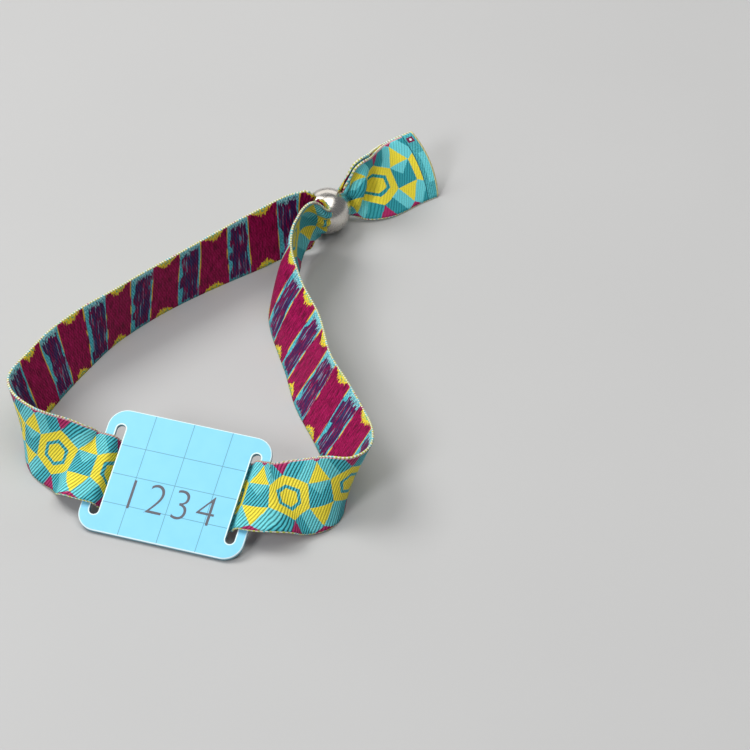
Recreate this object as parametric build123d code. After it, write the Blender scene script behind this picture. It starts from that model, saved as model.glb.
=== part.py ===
from build123d import *
import os
from math import acos, ceil, cos, degrees, pi, radians, sin, tan

import numpy as np

# A woven wristband that carries a slotted plastic chip card. One ribbon is threaded through the card's two
# slots, lies round in a loop with its lower edge on the table, and both its ends pass, gathered, through a
# metal bead and flare out behind it as a double tail. Lengths are in mm, angles in degrees. +X is to the
# right, +Y away from the side that the card faces, +Z up, with the table at z = 0.

# Band
band_width = 15.0
band_wall = 1.0
table_gap = 0.0          # the lower edge of a free stretch rests on the table
layer_gap = 0.3          # between the two runs where they lie together
tail_length = 21.9       # from where it leaves the bead to the free ends

# Card
card_length = 35.0
card_height = 27.0
card_thick = 1.0
card_corner = 4.0
card_tilt = 25.3         # leans back to this angle from the table, its lower edge on it
card_turn = -18.0        # its right end is nearer than its left end
slot_length = 20.2
slot_width = 2.0
slot_inset = 3.05        # from the card's end to the middle of the slot
card_round = 0.25        # rounding of the card's rims
left_shift = -0.5        # how far the band's middle sits above the middle of the left slot
right_shift = 0.8        # and of the right slot
left_skew = 6.0          # turn of the band in the card's plane, upwards, where it leaves on the left
right_skew = 14.0        # and on the right
card_clear = 0.3         # between the band and the card's faces

# Bead
bead_diameter = 10.0
bead_length = 8.0
bead_bore = 6.0
bead_rim = 0.45          # width of the flat rim round each mouth
bore_clear = 0.3
bead_turn = 55.0         # direction of its bore, from +X towards +Y
bead_pitch = 9.0         # its front mouth points up by this much
mouth_curl = 60.0        # turn of each run's section where it enters the bore
tail_turn = 32.0         # direction from the bead to the free ends

# Loop: the bead's place from the middle of the card's lower edge
bead_reach = 101.5
bead_aside = 33.4

# Mesh
columns = 11             # points across each face of the band
coarse_step = 3.0
fine_step = 0.42

# Each table follows the band. along: share of the straight distance between the stretch's two ends. out: how far
# the band stands outside that straight line, as a share of the same distance. lean: of the band's width from
# upright, towards the outside of the loop. rise: share of the height at which the nearer end holds the lower
# edge. curl: the turn of the section from edge to edge, ends towards the outside. gather: from a flat strip, 0,
# to a bundle that fills its half of the bore, 1. apart: share of the half gap by which the run stands off the
# other run.
ROW = ("along", "out", "lean", "rise", "curl", "gather", "apart")

tail_rows = (
    (0.14, 0.009, -8, 0.80, 70, 0.45, 1.0),
    (0.29, 0.050, -18, 0.35, 60, 0.0, 1.0),
    (0.49, 0.058, -31, 0.05, 22, 0.0, 1.0),
    (0.76, 0.015, -42, 0.0, -16, 0.0, 1.0),
    (1.00, 0.000, -43, 0.0, -14, 0.0, 1.0),
)
right_rows = (
    (0.030, 0.012, 8, 1.10, 45, 0.55, 1.0),
    (0.072, -0.028, 3, 1.20, 92, 0.10, 1.0),
    (0.116, -0.043, 2, 0.76, 67, 0.00, 0.7),
    (0.165, -0.039, -1, 0.78, 41, 0.00, 0.3),
    (0.228, -0.056, 13, 0.38, 28, 0.00, 0.0),
    (0.300, -0.047, 23, 0.12, 18, 0.00, 0.0),
    (0.371, -0.022, 26, 0.0, 13, 0.00, 0.0),
    (0.457, 0.016, 30, 0.0, 6, 0.00, 0.0),
    (0.599, 0.061, 29, 0.0, 0, 0.00, 0.0),
    (0.680, 0.102, 31, 0.0, 0, 0.00, 0.0),
    (0.778, 0.148, 33, 0.0, 0, 0.00, 0.0),
    (0.862, 0.180, 26, 0.0, 0, 0.00, 0.0),
    (0.935, 0.168, 8, 0.03, 0, 0.00, 0.0),
    (0.971, 0.110, -32, 0.12, 0, 0.00, 0.0),
    (0.984, 0.050, -54, 0.45, 0, 0.00, 0.0),
)
left_rows = (
    (0.003, 0.041, -37, 0.18, 0, 0.00, 0.0),
    (0.004, 0.107, -18, 0.06, 0, 0.00, 0.0),
    (0.026, 0.163, -2, 0.0, 0, 0.00, 0.0),
    (0.064, 0.206, 11, 0.0, 0, 0.00, 0.0),
    (0.108, 0.228, 17, 0.0, 0, 0.00, 0.0),
    (0.161, 0.231, 17, 0.0, 0, 0.00, 0.0),
    (0.252, 0.232, 15, 0.0, 0, 0.00, 0.0),
    (0.339, 0.224, 9, 0.0, 0, 0.00, 0.0),
    (0.474, 0.198, -3, 0.0, 0, 0.00, 0.0),
    (0.615, 0.156, -5, 0.0, 0, 0.00, 0.0),
    (0.744, 0.106, -1, 0.0, 4, 0.00, 0.0),
    (0.820, 0.075, 3, 0.0, 3, 0.00, 0.0),
    (0.880, 0.047, 5, 0.10, -1, 0.00, 0.2),
    (0.928, 0.024, 5, 0.16, -10, 0.00, 0.7),
    (0.960, 0.005, 5, 0.35, -38, 0.00, 1.0),
    (0.983, -0.003, -4, 0.68, -65, 0.42, 1.0),
)


def column(rows, name):
    """One named column of a table."""
    at = ROW.index(name)
    return [row[at] for row in rows]


def smooth(stops, values, places):
    """Values at the places, through the given ones without going past them."""
    stops, values = np.array(stops, float), np.array(values, float)
    rate = np.diff(values) / np.diff(stops)
    slope = np.zeros(len(values))
    for i in range(1, len(values) - 1):
        if rate[i - 1] * rate[i] > 0:
            slope[i] = 2 * rate[i - 1] * rate[i] / (rate[i - 1] + rate[i])
    span = np.clip(np.searchsorted(stops, places, side="right") - 1, 0, len(stops) - 2)
    width = stops[span + 1] - stops[span]
    t = (places - stops[span]) / width
    return (
        values[span] * (1 + 2 * t) * (1 - t) ** 2
        + slope[span] * width * t * (1 - t) ** 2
        + values[span + 1] * t * t * (3 - 2 * t)
        + slope[span + 1] * width * t * t * (t - 1)
    )


def plan_curve(knots, leave, arrive, step):
    """A smooth curve in plan through the knots: its knots' distances, then places, points and headings. An end
    with no direction of its own is left free."""
    knots = np.array(knots, float)
    gaps = np.linalg.norm(np.diff(knots, axis=0), axis=1)
    stops = np.concatenate(([0.0], np.cumsum(gaps)))
    count = len(knots)
    matrix, wanted = np.zeros((count, count)), np.zeros((count, 2))
    for i in range(1, count - 1):
        before, after = gaps[i - 1], gaps[i]
        matrix[i, i - 1 : i + 2] = (1 / before, 2 / before + 2 / after, 1 / after)
        wanted[i] = 3 * (knots[i] - knots[i - 1]) / before**2 + 3 * (knots[i + 1] - knots[i]) / after**2
    for i, other, heading in ((0, 1, leave), (count - 1, count - 2, arrive)):
        if heading is None:
            matrix[i, i], matrix[i, other] = 2, 1
            wanted[i] = 3 * (knots[max(i, other)] - knots[min(i, other)]) / gaps[min(i, other)]
        else:
            matrix[i, i] = 1
            wanted[i] = heading
    slopes = np.linalg.solve(matrix, wanted)
    places, points, headings = [], [], []
    for i, gap in enumerate(gaps):
        parts = ceil(gap / step)
        last = i == len(gaps) - 1
        for k in range(parts + last):
            t = k / parts
            near, far = knots[i], knots[i + 1]
            out, back = slopes[i] * gap, slopes[i + 1] * gap
            point = near * (1 + 2 * t) * (1 - t) ** 2 + out * t * (1 - t) ** 2
            point = point + far * t * t * (3 - 2 * t) + back * t * t * (t - 1)
            rate = (far - near) * 6 * t * (1 - t) + out * (1 - t) * (1 - 3 * t) + back * t * (3 * t - 2)
            places.append(stops[i] + t * gap)
            points.append(point)
            headings.append(rate / np.linalg.norm(rate))
    return stops, np.array(places), np.array(points), np.array(headings)


def strip_outline(curl, apart):
    """The flat or curled strip's outline across the band, as (width, outward) pairs: its outer face from the
    lower edge to the upper one, then its inner face back."""
    share = np.linspace(-0.5, 0.5, columns)
    turn = radians(curl) * share
    along = band_width * share * np.sinc(turn / pi)
    bulge = band_width * share * turn / 2 * np.sinc(turn / 2 / pi) ** 2
    normal = np.stack((-np.sin(turn), np.cos(turn)), axis=1)
    middle = np.stack((along, bulge), axis=1) + normal * apart * (band_wall + layer_gap) / 2
    outer = middle + normal * band_wall / 2
    inner = middle - normal * band_wall / 2
    return np.concatenate((outer, inner[::-1]))


def bundle_outline():
    """The gathered run: it fills the half of the bore on its own side."""
    radius = bead_bore / 2 - bore_clear
    swing = np.radians(np.linspace(-78, 78, columns))
    outer = np.stack((radius * np.sin(swing), radius * np.cos(swing)), axis=1)
    flat = np.linspace(radius * 0.93, -radius * 0.93, columns)
    inner = np.stack((flat, np.full(columns, layer_gap / 2)), axis=1)
    return np.concatenate((outer, inner))


def section(curl, gather, apart):
    """The outline at one place of the band."""
    return (1 - gather) * strip_outline(curl, apart) + gather * bundle_outline()


def heading_of(angle):
    return np.array((cos(radians(angle)), sin(radians(angle))))


def standing_ring(point, heading, lean, outline, foot):
    """The outline set across the heading, leaning, with its lowest corner at the height of foot."""
    outward = np.array((-heading[1], heading[0], 0.0))
    tilt = radians(lean)
    width = np.array((0.0, 0.0, cos(tilt))) + outward * sin(tilt)
    face = outward * cos(tilt) - np.array((0.0, 0.0, sin(tilt)))
    ring = outline[:, :1] * width + outline[:, 1:] * face + np.append(point, 0.0)
    ring[:, 2] += foot - ring[:, 2].min()
    return ring


# Card frame: its middle, the directions along its length and height, and the way it faces
card_along = np.append(heading_of(card_turn), 0.0)
card_back = np.array((-card_along[1], card_along[0], 0.0))
card_up = card_back * cos(radians(card_tilt)) + np.array((0.0, 0.0, sin(radians(card_tilt))))
card_face = np.cross(card_along, card_up)
card_middle = card_up * card_height / 2 + np.array((0.0, 0.0, card_thick / 2 * cos(radians(card_tilt))))
slot_middle = card_length / 2 - slot_inset
pass_height = card_thick / 2 + band_wall / 2 + card_clear
pass_step = slot_width * 0.3
pass_reach = card_length / 2 + band_wall * 2

# Bead frame
bore_heading = heading_of(bead_turn)
bead_middle = np.array((bead_aside, bead_reach, bead_diameter / 2))
mouth_reach = bead_length / 2 + (bead_bore / 2 + bead_rim) * sin(radians(bead_pitch)) + bore_clear
front_mouth = bead_middle[:2] - bore_heading * mouth_reach
rear_mouth = bead_middle[:2] + bore_heading * mouth_reach
mouth_lift = mouth_reach * tan(radians(bead_pitch))
bundle_foot = bead_diameter / 2 - bundle_outline()[:, 0].max()


def pass_ring(place):
    """The band's section where it is held by the card, over an end strip, in a slot or behind the middle, and
    its width direction and travel there. The place is measured along the card, from its middle."""
    side = 1 if place >= 0 else -1
    beyond = max(abs(place) - slot_middle, 0.0) / (pass_reach - slot_middle)
    skew = radians(right_skew if side > 0 else left_skew) * beyond**2
    lift = np.tanh((abs(place) - slot_middle) / pass_step)
    slope = pass_height / pass_step * (1 - lift * lift) * side
    shift = np.interp(place, (-slot_middle, slot_middle), (left_shift, right_shift))
    shift += tan(skew) * beyond * (pass_reach - slot_middle) / 3
    point = card_middle + card_along * place + card_up * shift + card_face * pass_height * lift
    travel = -(card_along * cos(skew) + card_up * sin(skew) * side + card_face * slope)
    travel = travel / np.linalg.norm(travel)
    width = card_up * cos(skew) - card_along * sin(skew) * side
    face = np.cross(width, travel)
    outline = strip_outline(0, 0)
    return point + outline[:, :1] * width + outline[:, 1:] * face, width, travel


def away_from_slot(reach):
    """Distances from a slot's middle as far as reach, close together near it."""
    distances = [0.0]
    while distances[-1] < reach - fine_step:
        widened = fine_step * max(1.0, (distances[-1] / pass_step / 2) ** 2)
        distances.append(min(distances[-1] + min(widened, coarse_step), reach))
    return distances[:-1] + [reach]


def pass_rings():
    """From the right of the card to its left."""
    outer = [slot_middle + distance for distance in away_from_slot(pass_reach - slot_middle)]
    inner = [slot_middle - distance for distance in away_from_slot(slot_middle)]
    right = outer[::-1] + inner[1:]
    return [pass_ring(place)[0] for place in right + [-place for place in right[-2::-1]]]


def free_rings(start, end, leave, arrive, rows, first, last):
    """A free stretch between two points in plan. first and last are the values that hold at its ends: lean, foot,
    curl, gather and apart. An end without values is free and takes those of the row nearest to it."""
    chord = end - start
    reach = np.linalg.norm(chord)
    aside = np.array((-chord[1], chord[0]))
    knots = [start + chord * along + aside * out for along, out in zip(column(rows, "along"), column(rows, "out"))]
    leans, curls = column(rows, "lean"), column(rows, "curl")
    gathers, aparts, rises = column(rows, "gather"), column(rows, "apart"), column(rows, "rise")
    feet = []
    for along, rise in zip(column(rows, "along"), rises):
        holder = first if (last is None or (first is not None and along < 0.5)) else last
        feet.append(table_gap + rise * (holder[1] - table_gap))
    if first is not None:
        knots.insert(0, start)
        for values, value in zip((leans, feet, curls, gathers, aparts), first):
            values.insert(0, value)
    if last is not None:
        knots.append(end)
        for values, value in zip((leans, feet, curls, gathers, aparts), last):
            values.append(value)
    step = coarse_step * min(1.0, reach / (4 * coarse_step))
    stops, places, points, headings = plan_curve(knots, leave, arrive, step)
    tracks = [smooth(stops, values, places) for values in (leans, feet, curls, gathers, aparts)]
    rings = []
    for point, heading, lean, foot, curl, gather, apart in zip(points, headings, *tracks):
        rings.append(standing_ring(point, heading, lean, section(curl, gather, apart), foot))
    return rings


def other_way(rows):
    """The same stretch followed from its other end."""
    at = ROW.index("along")
    return [row[:at] + (1 - row[at],) + row[at + 1 :] for row in reversed(rows)]


def other_side(rows):
    """The same stretch for the run behind, whose outside is the other side."""
    turned = ("out", "lean", "curl")
    return [[-value if name in turned else value for name, value in zip(ROW, row)] for row in rows]


def band_rings():
    """All sections of the band, from the front run's free end to the rear run's."""
    front, rear = bundle_foot + mouth_lift, bundle_foot - mouth_lift
    tail_front, tail_rear = (0.0, rear, mouth_curl, 1.0, 1.0), (0.0, rear, -mouth_curl, 1.0, 1.0)
    strand_right, strand_left = (0.0, front, mouth_curl, 1.0, 1.0), (0.0, front, -mouth_curl, 1.0, 1.0)
    tail_end = rear_mouth + heading_of(tail_turn) * tail_length
    held = []
    for place in (pass_reach, -pass_reach):
        ring, width, travel = pass_ring(place)
        lean = -degrees(acos(width[2]))
        ends = (lean, ring[:, 2].min(), 0.0, 0.0, 0.0)
        held.append((ring.mean(axis=0)[:2], travel[:2] / np.linalg.norm(travel[:2]), ends))
    (right_exit, right_travel, right_held), (left_exit, left_travel, left_held) = held
    front_tail = free_rings(tail_end, rear_mouth, None, -bore_heading, other_way(tail_rows), None, tail_front)
    right = free_rings(front_mouth, right_exit, -bore_heading, right_travel, right_rows, strand_right, right_held)
    left = free_rings(left_exit, front_mouth, left_travel, bore_heading, left_rows, left_held, strand_left)
    rear_tail = free_rings(rear_mouth, tail_end, bore_heading, None, other_side(tail_rows), tail_rear, None)
    return front_tail + right + pass_rings()[1:-1] + left + rear_tail


def closed_skin(rings):
    """One solid of flat triangles between neighbouring sections, with both ends closed."""
    size = 2 * columns
    triangles = []
    for near, far in zip(rings, rings[1:]):
        for i in range(size):
            j = (i + 1) % size
            triangles.append((near[i], near[j], far[j]))
            triangles.append((near[i], far[j], far[i]))
    for ring in (rings[0], rings[-1][::-1]):
        for i in range(columns - 1):
            a, b, c, d = ring[i], ring[i + 1], ring[size - 2 - i], ring[size - 1 - i]
            triangles.append((c, b, a))
            triangles.append((d, c, a))
    faces = [Face(Wire.make_polygon([Vector(*corner) for corner in triangle])) for triangle in triangles]
    return Solid(Shell(faces))


def card_solid():
    """The rounded plate with its two slots, leaning back on its lower edge."""
    plate = extrude(RectangleRounded(card_length, card_height, card_corner), amount=card_thick / 2, both=True)
    plate = fillet(plate.edges().filter_by(lambda e: abs(abs(e.center().Z) - card_thick / 2) < 1e-6), card_round)
    for side in (-1, 1):
        slot = extrude(Rot(0, 0, 90) * SlotOverall(slot_length, slot_width), amount=card_thick, both=True)
        plate -= Pos(side * slot_middle, 0, 0) * slot
    frame = Plane(origin=Vector(*card_middle), x_dir=Vector(*card_along), z_dir=Vector(*card_face))
    return frame * plate


def bead_solid():
    """A barrel turned about its bore: a round belly between two flat rims."""
    half, hole, rim = bead_length / 2, bead_bore / 2, bead_bore / 2 + bead_rim
    with BuildPart() as bead:
        with BuildSketch(Plane.XZ):
            with BuildLine():
                Polyline((rim, half), (hole, half), (hole, -half), (rim, -half))
                ThreePointArc((rim, -half), (bead_diameter / 2, 0), (rim, half))
            make_face()
        revolve(axis=Axis.Z)
    place = Plane(origin=Vector(*bead_middle), z_dir=Vector(*bore_heading, -tan(radians(bead_pitch))))
    return place * bead.part


pieces = {"band": closed_skin(band_rings()), "tag_card": card_solid(), "locking_bead": bead_solid()}
boxes = [piece.bounding_box() for piece in pieces.values()]
low = [min(getattr(box.min, axis) for box in boxes) for axis in "XYZ"]
high = [max(getattr(box.max, axis) for box in boxes) for axis in "XYZ"]
to_origin = Pos(-(low[0] + high[0]) / 2, -(low[1] + high[1]) / 2, -low[2])

os.makedirs("parts", exist_ok=True)
for name, piece in pieces.items():
    export_step(to_origin * piece, f"parts/{name}.step")
    print(name, round(piece.volume, 1), piece.is_valid)
print("size", [round(top - bottom, 1) for bottom, top in zip(low, high)], "moved by", to_origin.position)
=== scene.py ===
from math import acos, asin, ceil, cos, degrees, pi, radians, sin, sqrt, tan

import bpy
import numpy as np
from mathutils import Matrix, Vector


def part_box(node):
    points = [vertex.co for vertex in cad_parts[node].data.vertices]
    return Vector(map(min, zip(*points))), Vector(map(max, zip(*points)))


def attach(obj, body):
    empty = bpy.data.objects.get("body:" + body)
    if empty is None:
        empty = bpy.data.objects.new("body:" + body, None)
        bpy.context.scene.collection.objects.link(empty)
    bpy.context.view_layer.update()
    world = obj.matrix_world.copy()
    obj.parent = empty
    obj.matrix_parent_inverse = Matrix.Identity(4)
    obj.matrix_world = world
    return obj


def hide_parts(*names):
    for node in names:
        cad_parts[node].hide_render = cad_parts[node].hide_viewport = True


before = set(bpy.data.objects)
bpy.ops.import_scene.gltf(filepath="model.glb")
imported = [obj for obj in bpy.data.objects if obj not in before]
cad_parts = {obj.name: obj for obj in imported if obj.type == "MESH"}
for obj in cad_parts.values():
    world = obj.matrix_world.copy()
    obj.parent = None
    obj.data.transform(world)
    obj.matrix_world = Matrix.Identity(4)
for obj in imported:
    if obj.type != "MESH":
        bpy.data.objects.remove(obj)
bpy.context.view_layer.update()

# Locking bead: a polished nickel barrel that both runs of the band go through. It is turned from bar and
# bored, and its rims are broken so that they don't cut the ribbon. It slides on the band to draw it closed.
bead_length = 0.008
bead_radius = 0.005
bore_radius = 0.003
rim_width = 0.00045
rim_round = 0.00010
bead_turn = 55.0
bead_pitch = 9.0
turning_steps = 128
nickel_bright = (0.70, 0.665, 0.62)
nickel_dull = (0.58, 0.55, 0.515)
scratch_depth = 0.00001
bead_low, bead_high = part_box("locking_bead")
bead_middle = np.array((bead_low + bead_high) / 2)
bore_heading = np.array((cos(radians(bead_turn)), sin(radians(bead_turn))))


def only(piece):
    """Selects this piece alone."""
    bpy.ops.object.select_all(action="DESELECT")
    piece.select_set(True)
    bpy.context.view_layer.objects.active = piece


def named(name):
    """Gives the new piece its name."""
    piece = bpy.context.object
    piece.name = name
    piece.data.name = name
    return piece


def bead_outline():
    """Half of the bead's section as (radius, height): its belly, a rim, its bore and the other rim."""
    half, rim = bead_length / 2, bore_radius + rim_width
    bulge = bead_radius - rim
    arc = (half * half + bulge * bulge) / (2 * bulge)
    reach = 0.98 * asin(half / arc)
    belly = []
    for a in np.linspace(-reach, reach, 33):
        belly.append((bead_radius - arc + arc * cos(a), arc * sin(a)))
    upper = []
    for middle, start, end, points in ((rim - rim_round, 50, 90, 4), (bore_radius + rim_round, 90, 180, 5)):
        for a in np.linspace(radians(start), radians(end), points):
            upper.append((middle + rim_round * cos(a), half - rim_round + rim_round * sin(a)))
    return belly + upper + [(radius, -height) for radius, height in reversed(upper)]


outline = bead_outline()
bpy.ops.object.select_all(action="DESELECT")
bpy.ops.mesh.primitive_circle_add(vertices=len(outline), radius=bead_radius)
bead = named("nickel_bead")
for vertex, (radius, height) in zip(bead.data.vertices, outline):
    vertex.co = (radius, 0, height)
bpy.ops.object.mode_set(mode="EDIT")
bpy.ops.mesh.select_all(action="SELECT")
bpy.ops.mesh.spin(steps=turning_steps, angle=2 * pi, center=(0, 0, 0), axis=(0, 0, 1))
bpy.ops.mesh.select_all(action="SELECT")
bpy.ops.mesh.remove_doubles(threshold=1e-6)
bpy.ops.mesh.normals_make_consistent(inside=False)
bpy.ops.object.mode_set(mode="OBJECT")
bore_way = Vector((*bore_heading, -tan(radians(bead_pitch)))).normalized()
bead_place = Matrix.Translation(bead_middle) @ bore_way.to_track_quat("Z", "Y").to_matrix().to_4x4()
bead.data.transform(bead_place)
bpy.ops.object.shade_smooth()


def new_material(name):
    """A material with its shader, ready for its sockets to be set."""
    material = bpy.data.materials.new(name)
    material.use_nodes = True
    return material, material.node_tree, material.node_tree.nodes["Principled BSDF"]


def step(tree, operation, *values):
    """One step of arithmetic. A value is a number or what another step puts out."""
    node = tree.nodes.new("ShaderNodeMath")
    node.operation = operation
    for socket, value in zip(node.inputs, values):
        if isinstance(value, (int, float)):
            socket.default_value = value
        else:
            tree.links.new(value, socket)
    return node.outputs[0]


def between(tree, value, low, high, to_low=0.0, to_high=1.0):
    """The value's way from low to high, eased, as a number from to_low to to_high."""
    node = tree.nodes.new("ShaderNodeMapRange")
    node.interpolation_type = "SMOOTHSTEP"
    tree.links.new(value, node.inputs["Value"])
    for name, number in (("From Min", low), ("From Max", high), ("To Min", to_low), ("To Max", to_high)):
        node.inputs[name].default_value = number
    return node.outputs["Result"]


def tint(tree, share, first, second):
    """The first colour where the share is 0, the second where it is 1."""
    node = tree.nodes.new("ShaderNodeMix")
    node.data_type = "RGBA"
    for socket, value in ((node.inputs[0], share), (node.inputs[6], first), (node.inputs[7], second)):
        if isinstance(value, tuple):
            socket.default_value = (*value, 1.0)
        elif isinstance(value, (int, float)):
            socket.default_value = value
        else:
            tree.links.new(value, socket)
    return node.outputs[2]


def speckle(tree, where, scale, detail=2.0, stretch=None):
    """Soft noise from 0 to 1. stretch draws it out along an axis."""
    if stretch:
        mapping = tree.nodes.new("ShaderNodeMapping")
        mapping.inputs["Scale"].default_value = stretch
        tree.links.new(where, mapping.inputs["Vector"])
        where = mapping.outputs["Vector"]
    node = tree.nodes.new("ShaderNodeTexNoise")
    node.inputs["Scale"].default_value = scale
    node.inputs["Detail"].default_value = detail
    tree.links.new(where, node.inputs["Vector"])
    return node.outputs["Fac"]


def raise_surface(tree, shader, height, distance, strength=1.0):
    """Lets the height stand out of the surface by the distance, in metres."""
    bump = tree.nodes.new("ShaderNodeBump")
    bump.inputs["Strength"].default_value = strength
    bump.inputs["Distance"].default_value = distance
    tree.links.new(height, bump.inputs["Height"])
    tree.links.new(bump.outputs["Normal"], shader.inputs["Normal"])


nickel, tree, shader = new_material("polished_nickel")
place = tree.nodes.new("ShaderNodeTexCoord").outputs["Object"]
smear = speckle(tree, place, 420.0, 4.0)
scratch = speckle(tree, place, 900.0, 3.0, stretch=(1.0, 6.0, 0.6))
tree.links.new(tint(tree, smear, nickel_bright, nickel_dull), shader.inputs["Base Color"])
shader.inputs["Metallic"].default_value = 1.0
tree.links.new(between(tree, scratch, 0.35, 0.75, 0.20, 0.32), shader.inputs["Roughness"])
raise_surface(tree, shader, scratch, scratch_depth, 0.4)
bead.data.materials.append(nickel)
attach(bead, "root")
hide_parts("locking_bead")

# Tag card: a laminated plastic card with the chip inside. Its face is printed pale blue up to a thin rim
# painted white as a highlight on its rounded edge, with a grid of thin lines that stops at the two slots.
# They are punched through for the band, and their rims carry the same painted highlight. The card's sides
# and back are painted dark blue as shade.
card_length = 0.035
card_height = 0.027
card_thick = 0.001
card_corner = 0.004
card_tilt = 25.3
card_turn = -18.0
slot_length = 0.0202
slot_width = 0.002
slot_inset = 0.00305
slot_middle = card_length / 2 - slot_inset
card_low, card_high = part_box("tag_card")
card_middle = np.array((card_low + card_high) / 2)
card_along = np.array((cos(radians(card_turn)), sin(radians(card_turn)), 0.0))
card_up = np.array((-card_along[1], card_along[0], 0.0)) * cos(radians(card_tilt))
card_up += np.array((0.0, 0.0, sin(radians(card_tilt))))
card_face = np.cross(card_along, card_up)
card_frame = Matrix([(*card_along, 0), (*card_up, 0), (*card_face, 0), (0, 0, 0, 1)]).transposed()
card_frame = Matrix.Translation(card_middle) @ card_frame
# The rim round the face and round the slots is left unprinted and painted white as a highlight.
painted_rim_width = 0.00022
print_blur = 0.00006
face_level = card_thick / 2 - 0.00013
bevel_level = card_thick / 2 - 0.00024
short_lines = (-0.0081, 0.0001, 0.0083)
long_lines = (0.0058, -0.0005, -0.0069)
line_width = 0.00014
pale_blue = (0.190, 0.570, 0.800)
paler_blue = (0.210, 0.605, 0.840)
line_blue = (0.075, 0.260, 0.330)
# Painted highlight on the rounded edges, and painted shade on the sides and back.
painted_bevel_highlight = (0.700, 0.860, 0.900)
painted_side_shade = (0.110, 0.330, 0.420)
waviness = 0.00002


def plus(tree, first, second):
    return step(tree, "ADD", first, second)


def minus(tree, first, second):
    return step(tree, "SUBTRACT", first, second)


def times(tree, first, second):
    return step(tree, "MULTIPLY", first, second)


def unsigned(tree, value):
    return step(tree, "ABSOLUTE", value)


def distance(tree, x, y):
    """How far the point at x and y is from the middle."""
    return step(tree, "SQRT", plus(tree, step(tree, "POWER", x, 2.0), step(tree, "POWER", y, 2.0)))


laminate, tree, shader = new_material("printed_laminate")
mapping = tree.nodes.new("ShaderNodeMapping")
mapping.vector_type = "TEXTURE"
mapping.inputs["Location"].default_value = card_middle
mapping.inputs["Rotation"].default_value = card_frame.to_euler()
tree.links.new(tree.nodes.new("ShaderNodeTexCoord").outputs["Object"], mapping.inputs["Vector"])
on_card = mapping.outputs["Vector"]
apart = tree.nodes.new("ShaderNodeSeparateXYZ")
tree.links.new(on_card, apart.inputs[0])
along, upward, outward = apart.outputs
far_along, far_up = unsigned(tree, along), unsigned(tree, upward)
over_x = minus(tree, far_along, card_length / 2 - card_corner)
over_y = minus(tree, far_up, card_height / 2 - card_corner)
corner = distance(tree, step(tree, "MAXIMUM", over_x, 0.0), step(tree, "MAXIMUM", over_y, 0.0))
inner = step(tree, "MINIMUM", step(tree, "MAXIMUM", over_x, over_y), 0.0)
from_edge = minus(tree, plus(tree, corner, inner), card_corner)
slot_x = minus(tree, far_along, slot_middle)
slot_y = step(tree, "MAXIMUM", minus(tree, far_up, slot_length / 2 - slot_width / 2), 0.0)
from_slot = minus(tree, slot_width / 2, distance(tree, slot_x, slot_y))
nearest = step(tree, "MAXIMUM", from_edge, from_slot)
printed = between(tree, nearest, -painted_rim_width - print_blur, -painted_rim_width + print_blur, 1.0, 0.0)
on_face = between(tree, outward, face_level - print_blur / 2, face_level + print_blur / 2)
printed = times(tree, printed, on_face)
inked = None
for where, lines in ((along, short_lines), (upward, long_lines)):
    for line in lines:
        away = unsigned(tree, minus(tree, where, line))
        near = between(tree, away, line_width * 0.35, line_width * 0.75, 1.0, 0.0)
        if where is upward:
            near = times(tree, near, step(tree, "LESS_THAN", far_along, slot_middle - slot_width / 2))
        inked = near if inked is None else step(tree, "MAXIMUM", inked, near)
mottle = speckle(tree, on_card, 300.0, 3.0)
lined = tint(tree, times(tree, inked, 0.90), tint(tree, mottle, pale_blue, paler_blue), line_blue)
# Unprinted places: a painted highlight above the bevel line, and painted shade on the sides and back below
# it.
lit_bevel_share = between(tree, outward, bevel_level - print_blur, bevel_level + print_blur)
painted_edge_light = tint(tree, lit_bevel_share, painted_side_shade, painted_bevel_highlight)
tree.links.new(tint(tree, printed, painted_edge_light, lined), shader.inputs["Base Color"])
tree.links.new(between(tree, mottle, 0.3, 0.7, 0.32, 0.40), shader.inputs["Roughness"])
shader.inputs["Coat Weight"].default_value = 0.25
shader.inputs["Coat Roughness"].default_value = 0.22
raise_surface(tree, shader, speckle(tree, on_card, 160.0), waviness, 0.5)
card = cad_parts["tag_card"]
card.data.materials.clear()
card.data.materials.append(laminate)

# Card digits: plain numbers in dark grey ink on the lower half of the card's face. They are printed on top,
# as a film of ink that stands just above the laminate.
digits = "1234"
digit_height = 0.0068
digit_pitch = 0.0053
digit_row = -0.0046
digit_narrowing = 0.92
type_size = 1.42 * digit_height
stroke_thinning = -0.00018
ink_thick = 0.00002
ink_dark = (0.062, 0.064, 0.082)
ink_light = (0.098, 0.098, 0.120)
ink, tree, shader = new_material("dark_grey_ink")
place = tree.nodes.new("ShaderNodeTexCoord").outputs["Object"]
tree.links.new(tint(tree, speckle(tree, place, 2500.0), ink_dark, ink_light), shader.inputs["Base Color"])
tree.links.new(between(tree, speckle(tree, place, 900.0), 0.3, 0.7, 0.40, 0.50), shader.inputs["Roughness"])
narrowed = Matrix.Diagonal((digit_narrowing, 1.0, 1.0, 1.0))
numbers = []
for place_in_row, digit in enumerate(digits):
    bpy.ops.object.select_all(action="DESELECT")
    bpy.ops.object.text_add()
    number = bpy.context.object
    number.data.body = digit
    number.data.align_x = "CENTER"
    number.data.align_y = "CENTER"
    number.data.size = type_size
    number.data.extrude = ink_thick / 2
    number.data.offset = stroke_thinning
    bpy.ops.object.convert(target="MESH")
    number = bpy.context.object
    across = (place_in_row - (len(digits) - 1) / 2) * digit_pitch
    on_face = Matrix.Translation((across, digit_row, card_thick / 2 + ink_thick))
    number.data.transform(card_frame @ on_face @ narrowed)
    numbers.append(number)
bpy.ops.object.select_all(action="DESELECT")
for number in numbers:
    number.select_set(True)
bpy.context.view_layer.objects.active = numbers[0]
bpy.ops.object.join()
numbers = named("card_digits")
numbers.matrix_world = Matrix.Identity(4)
numbers.data.materials.clear()
numbers.data.materials.append(ink)
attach(numbers, "root")

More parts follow.
